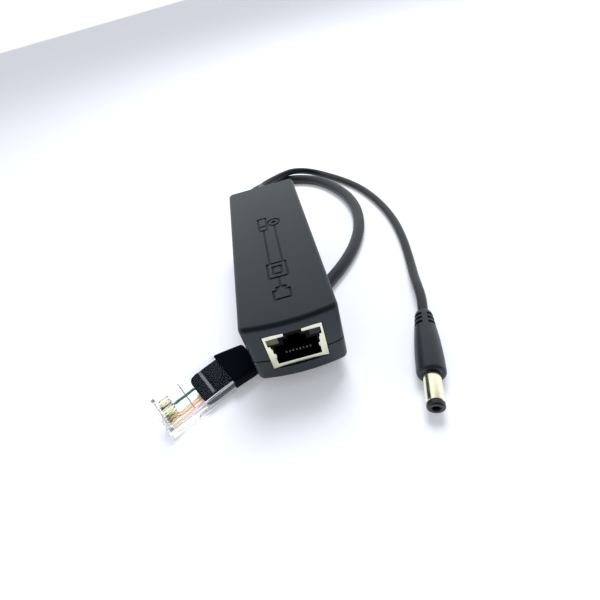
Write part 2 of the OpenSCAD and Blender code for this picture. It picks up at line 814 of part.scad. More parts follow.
module at_power_plug() {
    translate(power_plug_at)
        rotate([0, 0, power_heading])
            rotate([0, 90, 0])
                children();
}

barrel_wall = 0.35;
stem_l = 3;
sleeve_d = barrel_d - 2 * barrel_wall - 1;
stem_d = sleeve_d + fit + 2 * barrel_wall;
tip_t = 1.6;
contact_sleeve_t = 0.2;
rib_w = 0.9;
rib_pitch = 1.8;
rib_n = 3;

module power_plug_grip() {
    r = grip_d / 2;
    neck = power_d / 2 + 0.45;
    color("#1b1c1e")
    at_power_plug()
        difference() {
            rotate_extrude()
                polygon(concat([[0, 0], [neck, 0], [r * 0.62, 0.5], [r * 0.69, 1.5],
                    [r * 0.81, 6.8], [r * 0.92, grip_l * 0.48], [r * 0.98, grip_l * 0.66],
                    [r, grip_l * 0.8]],
                    arc([r - 0.8, grip_l - 0.6], 0.6, 0, 90, 4), [[0, grip_l]]));
            // Cross slots on both sides that let the neck bend
            for (k = [0:rib_n - 1], side = [-1, 1])
                translate([0, side * (1 + r / 2), 1.9 + k * rib_pitch])
                    block([2 * r + 1, r, rib_w]);
            // Seat for the barrel's stem
            translate([0, 0, grip_l - stem_l])
                cylinder(d = stem_d + fit, h = stem_l + 1);
        }
}

// The stem of the barrel is held in the grip, and its free end is the plug
module power_plug_barrel() {
    color("#b9b9bb")
    at_power_plug()
        difference() {
            union() {
                translate([0, 0, grip_l - stem_l])
                    cylinder(d = stem_d, h = stem_l + eps);
                translate([0, 0, grip_l])
                    cylinder(d = barrel_d, h = barrel_l - tip_t);
            }
            translate([0, 0, grip_l - stem_l - 1])
                cylinder(d = sleeve_d + fit, h = barrel_l + stem_l + 2);
        }
}

// Black sleeve inside the barrel, with a flange that covers the barrel's end
module power_plug_insulator() {
    color("#141518")
    at_power_plug()
        difference() {
            union() {
                translate([0, 0, grip_l - stem_l])
                    cylinder(d = sleeve_d, h = barrel_l + stem_l - tip_t + eps);
                translate([0, 0, grip_l + barrel_l - tip_t])
                    cylinder(d = barrel_d, h = tip_t);
            }
            translate([0, 0, grip_l - stem_l + 1])
                cylinder(d = pin_hole_d + 2 * contact_sleeve_t + fit, h = barrel_l + stem_l);
        }
}

// Cup that grips the centre pin
module power_plug_contact() {
    color("#c9b27a")
    at_power_plug()
        translate([0, 0, grip_l - stem_l + 1])
            difference() {
                cylinder(d = pin_hole_d + 2 * contact_sleeve_t, h = barrel_l + stem_l - 1 - tip_t);
                translate([0, 0, 1])
                    cylinder(d = pin_hole_d, h = barrel_l + stem_l);
            }
}

top_cover();
bottom_shell();
jack_shield();
jack_insert();
jack_contacts();
link_light();
activity_light();
circuit_board();
data_transformer();
bridge_rectifiers();
input_capacitor();
power_controller();
switching_transistor();
transformer_core();
transformer_winding();
optocoupler();
output_diode();
output_capacitors();
output_inductor();
network_leads();
power_leads();
network_strain_relief();
power_strain_relief();
network_cable();
network_plug_boot();
network_plug_body();
network_plug_contacts();
network_plug_wires();
power_cord();
power_plug_grip();
power_plug_barrel();
power_plug_insulator();
power_plug_contact();
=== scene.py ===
"""PoE splitter: moulded housing, network socket, network lead with a clear plug, power lead with a barrel plug."""
import math

import bmesh
import bpy
import numpy as np
from mathutils import Matrix


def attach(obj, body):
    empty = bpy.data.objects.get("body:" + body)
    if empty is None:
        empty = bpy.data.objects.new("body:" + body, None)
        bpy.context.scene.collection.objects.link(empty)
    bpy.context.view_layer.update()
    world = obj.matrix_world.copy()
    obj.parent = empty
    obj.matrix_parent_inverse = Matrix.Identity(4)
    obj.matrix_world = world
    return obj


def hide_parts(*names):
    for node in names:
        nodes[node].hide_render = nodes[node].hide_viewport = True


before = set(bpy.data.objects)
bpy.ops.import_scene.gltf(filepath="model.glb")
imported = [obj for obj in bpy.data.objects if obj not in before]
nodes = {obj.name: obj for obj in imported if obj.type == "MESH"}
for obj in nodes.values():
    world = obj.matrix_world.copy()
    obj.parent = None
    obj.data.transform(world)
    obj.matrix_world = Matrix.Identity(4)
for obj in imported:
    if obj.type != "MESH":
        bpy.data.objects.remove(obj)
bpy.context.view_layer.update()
MM = 0.001

# Housing sizes, in millimetres, as in the part's source
BODY_W, BODY_L, BODY_H, WALL = 27.0, 81.0, 22.4, 1.8
NOSE_BOW, CORNER_R, TOP_RIM_R, NOSE_RIM_R, BASE_RIM_R = 1.5, 2.0, 1.2, 1.5, 1.8
SEAM_Z, SEAM_GAP, TONGUE_H, FIT = -2.0, 0.25, 1.4, 0.1
JACK_W, JACK_H, JACK_GAP, BOARD_TOP, JACK_Y = 16.3, 13.3, 0.2, -5.9, -40.0
LEAD_X, RELIEF_L, RELIEF_T, TAIL_Y, TABLE_Z = 6.0, 9.0, 1.5, 40.5, -16.2
NETWORK_D, POWER_D = 4.8, 3.2
PLUG_L, PLUG_W, PLUG_H, PLUG_ROLL, PLUG_LIFT = 22.2, 11.7, 6.6, -17.5, 8.2
BOOT_L, BOOT_LIFT = 9.6, 1.8
BARREL_D, BARREL_L, TIP_T, GRIP_D, GRIP_L, STEM_L = 4.8, 10.0, 1.6, 8.0, 23.5, 3.0

# Middle lines of the leads over the table: x, y and lift above the lying height
NETWORK_ROUTE = [
    [-6.6, 59, 10.6], [-8, 65, 7.9], [-10, 71, 4.6], [-11.5, 77, 1.7], [-11, 83, 0.2],
    [-8, 87.8, 0], [-3, 91.4, 0], [3, 93.5, 0], [9.5, 93.7, 0], [16, 92, 0], [21.8, 88.9, 0],
    [26.8, 84.7, 0], [31, 79.3, 0], [34.2, 73, 0], [36.6, 66.5, 0], [38.4, 59.5, 0],
    [39.3, 52.5, 0], [39.4, 45.5, 0], [38.6, 38.5, 0], [37, 31.5, 0], [34.5, 24.5, 0],
    [30.8, 17.2, 0], [26.4, 10.7, 0], [21.8, 5.2, 0], [17.3, 0.6, 0], [12.2, -4.7, 0],
    [7, -10, 0], [1.8, -15.3, 0], [-3.4, -20.3, 0], [-8.7, -24.2, 0], [-15.7, -28.2, 0]]
POWER_ROUTE = [
    [5.2, 58.5, 12.1], [2.9, 63.8, 11], [0.3, 69, 9.7], [-1.1, 74.7, 8.4], [-0.3, 80, 7.3],
    [2.7, 84.3, 6.5], [6.6, 87.9, 5.8], [11.3, 91.3, 5.2], [16.7, 94, 4.5], [22, 95.4, 3],
    [27, 95.2, 1.3], [31.3, 92.4, 0.3], [35, 87.6, 0], [39, 81, 0], [43, 73.4, 0],
    [46.5, 65, 0], [49, 56, 0], [50.6, 47, 0], [51.5, 37.7, 0], [51.6, 28.7, 0],
    [51, 20.2, 0], [49.9, 12, 0], [48.4, 4, 0], [46.8, -3.3, 0.2], [45.2, -10, 0.9],
    [43.8, -16.4, 2], [42.5, -22.4, 2.5], [40.34, -29.24, 2.5]]


# Materials

def finish(name, colour, roughness, grain=0.0, grain_size=0.3, mottle=0.0, mottle_size=4.0,
           rough_swing=0.0, metallic=0.0, coat=0.0, sheen=0.0, specular=0.5):
    """A moulded or metal finish: the colour mottled by broad noise, the roughness by finer
    noise, and a grain of bumps grain_size millimetres across and grain millimetres deep."""
    m = bpy.data.materials.new(name)
    m.use_nodes = True
    nt = m.node_tree
    bsdf = nt.nodes["Principled BSDF"]
    bsdf.inputs["Metallic"].default_value = metallic
    bsdf.inputs["Coat Weight"].default_value = coat
    bsdf.inputs["Sheen Weight"].default_value = sheen
    bsdf.inputs["Specular IOR Level"].default_value = specular
    bsdf.inputs["Roughness"].default_value = roughness
    bsdf.inputs["Base Color"].default_value = (*colour, 1)
    place = nt.nodes.new("ShaderNodeTexCoord")
    if mottle:
        broad = noise(nt, place, mottle_size, 4)
        ramp = nt.nodes.new("ShaderNodeMix")
        ramp.data_type = "RGBA"
        ramp.inputs["A"].default_value = (*[c * (1 - mottle) for c in colour], 1)
        ramp.inputs["B"].default_value = (*[min(1, c * (1 + mottle)) for c in colour], 1)
        nt.links.new(broad.outputs["Fac"], ramp.inputs["Factor"])
        nt.links.new(ramp.outputs["Result"], bsdf.inputs["Base Color"])
    if rough_swing:
        fine = noise(nt, place, grain_size * 3, 3)
        swing = nt.nodes.new("ShaderNodeMapRange")
        swing.inputs["To Min"].default_value = max(0.02, roughness - rough_swing)
        swing.inputs["To Max"].default_value = min(1, roughness + rough_swing)
        nt.links.new(fine.outputs["Fac"], swing.inputs["Value"])
        nt.links.new(swing.outputs["Result"], bsdf.inputs["Roughness"])
    if grain:
        pits = noise(nt, place, grain_size, 3)
        bump = nt.nodes.new("ShaderNodeBump")
        bump.inputs["Strength"].default_value = 0.6
        bump.inputs["Distance"].default_value = grain * MM
        nt.links.new(pits.outputs["Fac"], bump.inputs["Height"])
        nt.links.new(bump.outputs["Normal"], bsdf.inputs["Normal"])
    return m


def noise(nt, place, size, detail):
    """Noise whose cells are about size millimetres across, on Object coordinates."""
    n = nt.nodes.new("ShaderNodeTexNoise")
    n.inputs["Scale"].default_value = 1 / (size * MM)
    n.inputs["Detail"].default_value = detail
    nt.links.new(place.outputs["Object"], n.inputs["Vector"])
    return n


def paint_deep_shade(m, colour, lit_to, dark_from):
    """Paints shade into a material: mixes its colour to black between two places along Y, in
    millimetres, because metal far inside the socket gets no light."""
    nt = m.node_tree
    place = nt.nodes.new("ShaderNodeTexCoord")
    split = nt.nodes.new("ShaderNodeSeparateXYZ")
    nt.links.new(place.outputs["Object"], split.inputs["Vector"])
    depth = nt.nodes.new("ShaderNodeMapRange")
    depth.inputs["From Min"].default_value = lit_to * MM
    depth.inputs["From Max"].default_value = dark_from * MM
    nt.links.new(split.outputs["Y"], depth.inputs["Value"])
    fade = nt.nodes.new("ShaderNodeMix")
    fade.data_type = "RGBA"
    fade.inputs["A"].default_value = (*colour, 1)
    fade.inputs["B"].default_value = (0.004, 0.004, 0.004, 1)
    nt.links.new(depth.outputs["Result"], fade.inputs["Factor"])
    nt.links.new(fade.outputs["Result"], nt.nodes["Principled BSDF"].inputs["Base Color"])


def along(nt, origin, axis):
    """Distance along an axis from a point, both in millimetres, on Object coordinates."""
    place = nt.nodes.new("ShaderNodeTexCoord")
    run = nt.nodes.new("ShaderNodeVectorMath")
    run.operation = "DOT_PRODUCT"
    run.inputs[1].default_value = [1000 * a for a in axis]
    nt.links.new(place.outputs["Object"], run.inputs[0])
    shift = nt.nodes.new("ShaderNodeMath")
    shift.operation = "SUBTRACT"
    shift.inputs[1].default_value = float(np.dot(origin, axis))
    nt.links.new(run.outputs["Value"], shift.inputs[0])
    return shift.outputs[0]


def band(m, origin, axis, low, high, soft, inside, outside):
    """Gives a material one colour between two places along an axis and another beyond them,
    with soft millimetres of change at each."""
    nt = m.node_tree
    run = along(nt, origin, axis)
    parts = []
    for edge, rising in ((low, True), (high, False)):
        step = nt.nodes.new("ShaderNodeMapRange")
        step.interpolation_type = "SMOOTHSTEP"
        step.inputs["From Min"].default_value = edge - soft / 2
        step.inputs["From Max"].default_value = edge + soft / 2
        step.inputs["To Min"].default_value = 0.0 if rising else 1.0
        step.inputs["To Max"].default_value = 1.0 if rising else 0.0
        nt.links.new(run, step.inputs["Value"])
        parts.append(step)
    both = nt.nodes.new("ShaderNodeMath")
    both.operation = "MULTIPLY"
    nt.links.new(parts[0].outputs["Result"], both.inputs[0])
    nt.links.new(parts[1].outputs["Result"], both.inputs[1])
    mix = nt.nodes.new("ShaderNodeMix")
    mix.data_type = "RGBA"
    mix.inputs["A"].default_value = (*outside, 1)
    mix.inputs["B"].default_value = (*inside, 1)
    nt.links.new(both.outputs[0], mix.inputs["Factor"])
    nt.links.new(mix.outputs["Result"], nt.nodes["Principled BSDF"].inputs["Base Color"])


def clear_plastic(name, tint, roughness, ior):
    """Clear moulded plastic: most of the light passes through it to the table, so the shadow
    stays faint."""
    m = finish(name, tint, roughness)
    nt = m.node_tree
    bsdf = nt.nodes["Principled BSDF"]
    bsdf.inputs["Transmission Weight"].default_value = 1.0
    bsdf.inputs["IOR"].default_value = ior
    out = nt.nodes["Material Output"]
    rays = nt.nodes.new("ShaderNodeLightPath")
    see_through = nt.nodes.new("ShaderNodeBsdfTransparent")
    see_through.inputs["Color"].default_value = (0.93, 0.95, 0.96, 1)
    mix = nt.nodes.new("ShaderNodeMixShader")
    nt.links.new(rays.outputs["Is Shadow Ray"], mix.inputs["Fac"])
    nt.links.new(bsdf.outputs["BSDF"], mix.inputs[1])
    nt.links.new(see_through.outputs["BSDF"], mix.inputs[2])
    nt.links.new(mix.outputs["Shader"], out.inputs["Surface"])
    return m


housing_plastic = finish("housing_plastic", (0.006, 0.0125, 0.013), 0.42, grain=0.02,
                         grain_size=0.22, mottle=0.08, mottle_size=9, rough_swing=0.05,
                         specular=0.52)
housing_plastic.node_tree.nodes["Principled BSDF"].inputs["Specular Tint"].default_value = (
    0.82, 0.89, 1, 1)
engraved_floor = finish("engraved_floor", (0.004, 0.008, 0.0085), 0.5, grain=0.02,
                        grain_size=0.22, mottle=0.1, rough_swing=0.05, specular=0.36)
nickel_sheet = finish("nickel_sheet", (0.9, 0.88, 0.68), 0.34, grain=0.006, grain_size=0.5,
                      mottle=0.05, mottle_size=2, rough_swing=0.07, metallic=1)
socket_black = finish("socket_black", (0.003, 0.003, 0.0035), 0.6, grain=0.01, mottle=0.2,
                      mottle_size=2, rough_swing=0.06, specular=0.08)
socket_spring = finish("socket_spring", (0.26, 0.23, 0.17), 0.42, grain=0.004, grain_size=0.2,
                       rough_swing=0.06, metallic=0.5)
# Painted shade: the springs turn black just behind the socket's front lip
paint_deep_shade(socket_spring, (0.7, 0.66, 0.55), -36.55, -36.4)
contact_gold = finish("contact_gold", (0.88, 0.76, 0.4), 0.35, grain=0.004, grain_size=0.2,
                      mottle=0.08, mottle_size=0.8, rough_swing=0.06, metallic=0.35)
green_lens = finish("green_lens", (0.12, 0.12, 0.035), 0.3, grain=0.006, mottle=0.25,
                    mottle_size=1, rough_swing=0.05)
grey_lens = finish("grey_lens", (0.008, 0.01, 0.015), 0.3, grain=0.006, mottle=0.25,
                   mottle_size=1, rough_swing=0.05, specular=0.3)
board_mask = finish("board_mask", (0.016, 0.12, 0.05), 0.32, grain=0.01, grain_size=0.4,
                    mottle=0.18, mottle_size=3, rough_swing=0.06, coat=0.3)
chip_black = finish("chip_black", (0.012, 0.012, 0.013), 0.55, grain=0.012, grain_size=0.12,
                    mottle=0.12, mottle_size=1.5, rough_swing=0.06)
can_sleeve = finish("can_sleeve", (0.02, 0.05, 0.12), 0.3, grain=0.005, mottle=0.1,
                    mottle_size=3, rough_swing=0.05, coat=0.2)
ferrite = finish("ferrite", (0.03, 0.03, 0.031), 0.7, grain=0.02, grain_size=0.15, mottle=0.2,
                 mottle_size=1, rough_swing=0.1)
winding_tape = finish("winding_tape", (0.62, 0.42, 0.08), 0.35, grain=0.015, grain_size=0.5,
                      mottle=0.12, mottle_size=2, rough_swing=0.08)
lead_orange = finish("lead_orange", (0.75, 0.16, 0.03), 0.4, mottle=0.1, rough_swing=0.05)
lead_red = finish("lead_red", (0.5, 0.03, 0.02), 0.4, mottle=0.1, rough_swing=0.05)
network_jacket = finish("network_jacket", (0.014, 0.018, 0.023), 0.4, grain=0.012,
                        grain_size=0.6, mottle=0.12, mottle_size=5, rough_swing=0.08)
power_jacket = finish("power_jacket", (0.009, 0.011, 0.014), 0.4, grain=0.012,
                      grain_size=0.5, mottle=0.12, mottle_size=5, rough_swing=0.08)
boot_rubber = finish("boot_rubber", (0.003, 0.0045, 0.009), 0.6, grain=0.003, grain_size=0.3,
                     mottle=0.15, mottle_size=3, rough_swing=0.06, specular=0.03)
grip_rubber = finish("grip_rubber", (0.014, 0.018, 0.022), 0.42, grain=0.012, grain_size=0.3,
                     mottle=0.1, mottle_size=4, rough_swing=0.06)
barrel_plate = finish("barrel_plate", (0.95, 0.94, 0.71), 0.2, grain=0.003, grain_size=0.5,
                      mottle=0.04, mottle_size=2, rough_swing=0.04, metallic=1)
tip_plastic = finish("tip_plastic", (0.012, 0.013, 0.018), 0.34, grain=0.006, mottle=0.1,
                     mottle_size=1, rough_swing=0.05)
wedge_grey = finish("wedge_grey", (0.11, 0.12, 0.13), 0.4, mottle=0.1, rough_swing=0.05)
# Painted light seen in the clear plastic: shade in the crease, reflections at the tip's edge and corners
crease_shade_paint = finish("crease_shade_paint", (0.1, 0.12, 0.11), 0.5, mottle=0.1, rough_swing=0.05)
tip_edge_reflection_paint = finish("tip_edge_reflection_paint", (0.34, 0.34, 0.34), 0.5, mottle=0.1, rough_swing=0.05)
tip_corner_reflection_paint = finish("tip_corner_reflection_paint", (0.16, 0.16, 0.16), 0.5, mottle=0.1, rough_swing=0.05)
clear_body = clear_plastic("clear_body", (0.99, 0.99, 0.995), 0.0, 1.2)

for names, material in [
        (["jack_insert"], socket_black), (["network_plug_contacts"], contact_gold),
        (["jack_contacts"], socket_spring),
        (["link_light"], green_lens), (["activity_light"], grey_lens),
        (["circuit_board"], board_mask),
        (["data_transformer", "bridge_rectifiers", "power_controller", "switching_transistor",
          "optocoupler", "output_diode"], chip_black),
        (["input_capacitor", "output_capacitors"], can_sleeve),
        (["transformer_core", "output_inductor"], ferrite), (["transformer_winding"], winding_tape),
        (["network_leads"], lead_orange), (["power_leads"], lead_red),
        (["power_plug_contact"], nickel_sheet)]:
    for name in names:
        mesh = nodes[name].data
        mesh.materials.clear()
        mesh.materials.append(material)


# Shapes

def surface(name, points, material, wrap=True, close=False, smooth_angle=40):
    """A mesh over rings of points, rows x columns x 3 in millimetres: quads join each ring to
    the next, wrap joins each ring's ends, and close joins the last ring to the first; else
    both end rings are capped."""
    rows, cols = points.shape[:2]
    r = np.arange(rows if close else rows - 1)[:, None]
    c = np.arange(cols if wrap else cols - 1)[None, :]
    r2, c2 = (r + 1) % rows, (c + 1) % cols
    quads = np.stack([r * cols + c, r * cols + c2, r2 * cols + c2, r2 * cols + c], -1)
    faces = quads.reshape(-1, 4).tolist()
    if not close:
        faces.append(list(range(cols - 1, -1, -1)))
        faces.append(list(range((rows - 1) * cols, rows * cols)))
    mesh = bpy.data.meshes.new(name)
    mesh.from_pydata((points.reshape(-1, 3) * MM).tolist(), [], faces)
    return settle(name, mesh, material, smooth_angle)


def settle(name, mesh, material, smooth_angle=40):
    """Puts a mesh into the scene with its faces outwards, smooth below smooth_angle degrees."""
    bm = bmesh.new()
    bm.from_mesh(mesh)
    bmesh.ops.recalc_face_normals(bm, faces=bm.faces)
    bm.to_mesh(mesh)
    bm.free()
    piece = bpy.data.objects.new(name, mesh)
    bpy.context.scene.collection.objects.link(piece)
    shade(mesh, smooth_angle)
    mesh.materials.clear()
    mesh.materials.append(material)
    return piece


def shade(mesh, smooth_angle):
    mesh.polygons.foreach_set("use_smooth", np.ones(len(mesh.polygons), dtype=bool))
    mesh.set_sharp_from_angle(angle=math.radians(smooth_angle))


def bevel(piece, width, segments=2, angle=35):
    """Rounds the edges that turn by more than angle degrees, width millimetres across."""
    b = piece.modifiers.new("edge_round", "BEVEL")
    b.width = width * MM
    b.segments = segments
    b.limit_method = "ANGLE"
    b.angle_limit = math.radians(angle)
    b.use_clamp_overlap = True
    b.harden_normals = False
    bake(piece, 50)


def bake(piece, smooth_angle=40):
    """Replaces a piece's mesh by what its modifiers make of it."""
    graph = bpy.context.evaluated_depsgraph_get()
    made = bpy.data.meshes.new_from_object(piece.evaluated_get(graph))
    piece.modifiers.clear()
    piece.data = made
    shade(made, smooth_angle)


def carve(piece, cutters, keep_finish=False):
    """Takes the cutters' volumes out of a piece; keep_finish leaves their finish in the cuts."""
    for cutter in cutters:
        cut = piece.modifiers.new("cut", "BOOLEAN")
        cut.operation = "DIFFERENCE"
        cut.solver = "EXACT"
        cut.object = cutter
        if keep_finish:
            cut.material_mode = "TRANSFER"
    bake(piece)
    for cutter in cutters:
        bpy.data.objects.remove(cutter)


def cutter_box(low, high):
    """A box between two corners, in millimetres."""
    x0, y0, z0 = low
    x1, y1, z1 = high
    ring = np.array([[x0, y0], [x1, y0], [x1, y1], [x0, y1]], float)
    stack = np.stack([np.c_[ring, np.full(4, z)] for z in (z0, z1)])
    return surface("cutter", stack, socket_black)


def lathe(name, profile, material, to_world, turns=96, ring_profile=True, smooth_angle=40):
    """A profile of (radius, distance) points turned about the Z axis, then carried by to_world;
    ring_profile closes the profile on itself, else its two ends are capped."""
    p = np.asarray(profile, float)
    a = np.linspace(0, 2 * np.pi, turns, endpoint=False)
    points = np.stack([p[:, 0, None] * np.cos(a), p[:, 0, None] * np.sin(a),
                       np.repeat(p[:, 1, None], turns, 1)], -1)
    return surface(name, to_world(points), material, close=ring_profile, smooth_angle=smooth_angle)


def round_corners(profile, radius, steps=4):
    """Each corner of an open profile is replaced by a short quadratic curve."""
    p = np.asarray(profile, float)
    out = [p[:1]]
    t = np.linspace(0, 1, steps + 1)[:, None]
    for a, b, c in zip(p[:-2], p[1:-1], p[2:]):
        ra = min(radius, np.linalg.norm(a - b) / 2.1)
        rc = min(radius, np.linalg.norm(c - b) / 2.1)
        s = b + (a - b) / np.linalg.norm(a - b) * ra
        e = b + (c - b) / np.linalg.norm(c - b) * rc
        out.append((1 - t) ** 2 * s + 2 * t * (1 - t) * b + t ** 2 * e)
    out.append(p[-1:])
    return np.concatenate(out)


def arc(centre, r, a, b, n):
    """Points of an arc from angle a to b in degrees, in n steps, as an array."""
    t = np.radians(np.linspace(a, b, n + 1))
    return np.stack([centre[0] + r * np.cos(t), centre[1] + r * np.sin(t)], -1)


def dress(node, name, material, width, segments=2, angle=35):
    """A copy of a CAD node with its loose triangles merged, its flat faces joined and its
    edges rounded, which stands for that node."""
    mesh = nodes[node].data.copy()
    mesh.name = name
    bm = bmesh.new()
    bm.from_mesh(mesh)
    bmesh.ops.remove_doubles(bm, verts=bm.verts, dist=1e-7)
    bmesh.ops.dissolve_limit(bm, angle_limit=math.radians(0.5), verts=bm.verts, edges=bm.edges)
    bm.to_mesh(mesh)
    bm.free()
    piece = settle(name, mesh, material)
    bevel(piece, width, segments, angle)
    own(piece, node)
    return piece


def own(piece, *names):
    """The piece rides on the one body and stands for the named nodes."""
    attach(piece, "root")
    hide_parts(*names)


# Leads

def on_table(x, route, d):
    """The lead's points: straight out of its strain relief, then along its route."""
    start = [[x, TAIL_Y + RELIEF_L + s, SEAM_Z] for s in (0, 4)]
    return np.array(start + [[p[0], p[1], TABLE_Z + d / 2 + p[2]] for p in route], float)


def through(points, steps=8):
    """A centripetal Catmull-Rom curve through the points, steps stretches to each span."""
    p = np.vstack([2 * points[0] - points[1], points, 2 * points[-1] - points[-2]])
    t = np.linspace(0, 1, steps, endpoint=False)[:, None]
    spans = []
    for p0, p1, p2, p3 in zip(p[:-3], p[1:-2], p[2:-1], p[3:]):
        spans.append(0.5 * (2 * p1 + (p2 - p0) * t + (2 * p0 - 5 * p1 + 4 * p2 - p3) * t ** 2
                            + (3 * p1 - p0 - 3 * p2 + p3) * t ** 3))
    return np.vstack(spans + [points[-1:]])


def lead(name, line, d, material):
    """A round jacket of diameter d round a middle line, as a curve of one open spline."""
    curve = bpy.data.curves.new(name, "CURVE")
    curve.dimensions = "3D"
    spline = curve.splines.new("POLY")
    spline.points.add(len(line) - 1)
    flat = np.c_[line * MM, np.ones(len(line))]
    spline.points.foreach_set("co", flat.ravel())
    curve.bevel_depth = d / 2 * MM
    curve.bevel_resolution = 8
    curve.use_fill_caps = True
    piece = bpy.data.objects.new(name, curve)
    bpy.context.scene.collection.objects.link(piece)
    curve.materials.append(material)
    return piece


network_points = on_table(-LEAD_X, NETWORK_ROUTE, NETWORK_D)
power_points = on_table(LEAD_X, POWER_ROUTE, POWER_D)
network_line = through(network_points)
power_line = through(power_points)


# Housing

def plan(inset):
    """The housing's outline drawn in by inset: a bowed nose on one large arc, two straight
    sides, a straight tail and four corner arcs tangent to them."""
    half = BODY_W / 2 - inset
    r = max(CORNER_R - inset, 0.3)
    nose_r = ((BODY_W / 2) ** 2 + NOSE_BOW ** 2) / (2 * NOSE_BOW)
    centre = np.array([0, -BODY_L / 2 + nose_r])
    big = nose_r - inset
    cx = half - r
    cy = centre[1] - math.sqrt((big - r) ** 2 - cx ** 2)
    lean = math.degrees(math.asin(cx / (big - r)))
    back = BODY_L / 2 - inset - r
    return np.concatenate([
        arc(centre, big, -90 - lean, -90 + lean, 48),
        arc([cx, cy], r, -90 + lean, 0, 12)[1:],
        arc([cx, back], r, 0, 90, 12), arc([-cx, back], r, 90, 180, 12),
        arc([-cx, cy], r, 180, 270 - lean, 12)[:-1]])


def stack(levels):
    """Rings of the plan, one for each (inset, height)."""
    return np.stack([np.c_[plan(i), np.full(len(plan(i)), z)] for i, z in levels])


def base_rim(n=8):
    """The rounded rim between the base and a side wall: a quarter circle in section."""
    t = np.radians(np.linspace(90, 0, n + 1))
    return [(BASE_RIM_R * (1 - math.cos(a)), BASE_RIM_R * (1 - math.sin(a)) - BODY_H / 2) for a in t]


def top_rim(n=10):
    """Rings of the rim round the top face: a quarter circle in section, whose radius grows
    from TOP_RIM_R at the sides to NOSE_RIM_R along the nose, round the corner between them."""
    edge = plan(0)
    nose = np.clip((NOSE_BOW - BODY_L / 2 + CORNER_R - edge[:, 1:]) / CORNER_R, 0, 1)
    r = TOP_RIM_R * (1 - nose) + NOSE_RIM_R * nose
    rings = []
    for t in np.radians(np.linspace(0, 90, n + 1)):
        flat = (plan(TOP_RIM_R * (1 - math.cos(t))) * (1 - nose)
                + plan(NOSE_RIM_R * (1 - math.cos(t))) * nose)
        rings.append(np.c_[flat, BODY_H / 2 - r * (1 - math.sin(t))])
    return np.stack(rings)


TONGUE_T = WALL / 2 - FIT / 2


def window():
    return cutter_box([-JACK_W / 2 - JACK_GAP, JACK_Y - 3, BOARD_TOP - JACK_GAP],
                      [JACK_W / 2 + JACK_GAP, JACK_Y + 8, BOARD_TOP + JACK_H + JACK_GAP])


def seats():
    """Cylinders where the strain reliefs pass through the tail wall."""
    made = []
    for x, d in [(-LEAD_X, NETWORK_D), (LEAD_X, POWER_D)]:
        r = d / 2 + RELIEF_T
        made.append(lathe("cutter", [(r, -3), (r, 3)], socket_black,
                          lambda p, x=x: np.stack([p[..., 0] + x, TAIL_Y - WALL / 2 + p[..., 2],
                                                   SEAM_Z - p[..., 1]], -1),
                          turns=64, ring_profile=False))
    return made


cover = surface("cover", np.concatenate([stack(
    [(WALL, BODY_H / 2 - WALL), (WALL, SEAM_Z - TONGUE_H), (WALL - TONGUE_T, SEAM_Z - TONGUE_H),
     (WALL - TONGUE_T, SEAM_Z), (0.12, SEAM_Z), (0, SEAM_Z + 0.12)]), top_rim()]),
    housing_plastic)


def stroke(a, b, w=0.72, depth=0.3):
    """A cutter for one engraved stroke: a bar with half-round ends from a to b in the top face."""
    a, b = np.asarray(a, float), np.asarray(b, float)
    lean = math.degrees(math.atan2(*(b - a)[::-1]))
    ring = np.concatenate([arc(b, w / 2, lean - 90, lean + 90, 8),
                           arc(a, w / 2, lean + 90, lean + 270, 8)])
    return surface("cutter", np.stack([np.c_[ring, np.full(len(ring), z)]
                                       for z in (BODY_H / 2 - depth, BODY_H / 2 + 1)]), engraved_floor)


def sign():
    """A plain drawing of what the part does, engraved along the top: a socket, a box where
    the line parts, and two lines to a plug and to a barrel's ring."""
    def frame_of(x0, y0, x1, y1):
        return [[x0, y0], [x1, y0], [x1, y1], [x0, y1], [x0, y0]]

    chains = [
        [[-2.4, -31], [2.4, -31], [2.4, -27.4], [1.3, -27.4], [1.3, -26], [-1.3, -26],
         [-1.3, -27.4], [-2.4, -27.4], [-2.4, -31]],
        [[0, -26], [0, -21.5]], frame_of(-2.9, -21.5, 2.9, -14.5), frame_of(-1.3, -19.7, 1.3, -16.3),
        [[-1.9, -14.5], [-1.9, 5.5]], frame_of(-3.3, 5.5, -0.5, 13.5), [[-3.3, 8.2], [-0.5, 8.2]],
        [[2.1, -14.5], [2.1, 7.3]], (np.array([[2.1, 9.4]]) + 2.1 * arc([0, 0], 1, 0, 360, 14)).tolist(),
        (np.array([[2.1, 9.4]]) + 0.5 * arc([0, 0], 1, 0, 360, 6)).tolist()]
    return [stroke(a, b) for chain in chains for a, b in zip(chain[:-1], chain[1:])]


carve(cover, [window(), *seats()])
carve(cover, sign(), keep_finish=True)
own(cover, "top_cover")

base = surface("base", stack(
    base_rim()
    + [(0, SEAM_Z - SEAM_GAP - 0.12), (0.12, SEAM_Z - SEAM_GAP),
       (WALL - TONGUE_T - FIT, SEAM_Z - SEAM_GAP), (WALL - TONGUE_T - FIT, SEAM_Z - TONGUE_H - FIT),
       (WALL, SEAM_Z - TONGUE_H - FIT), (WALL, -BODY_H / 2 + WALL)]), housing_plastic)
carve(base, [window(), *seats()])
own(base, "bottom_shell")

dress("jack_shield", "socket_shield", nickel_sheet, 0.06)


# Strain reliefs

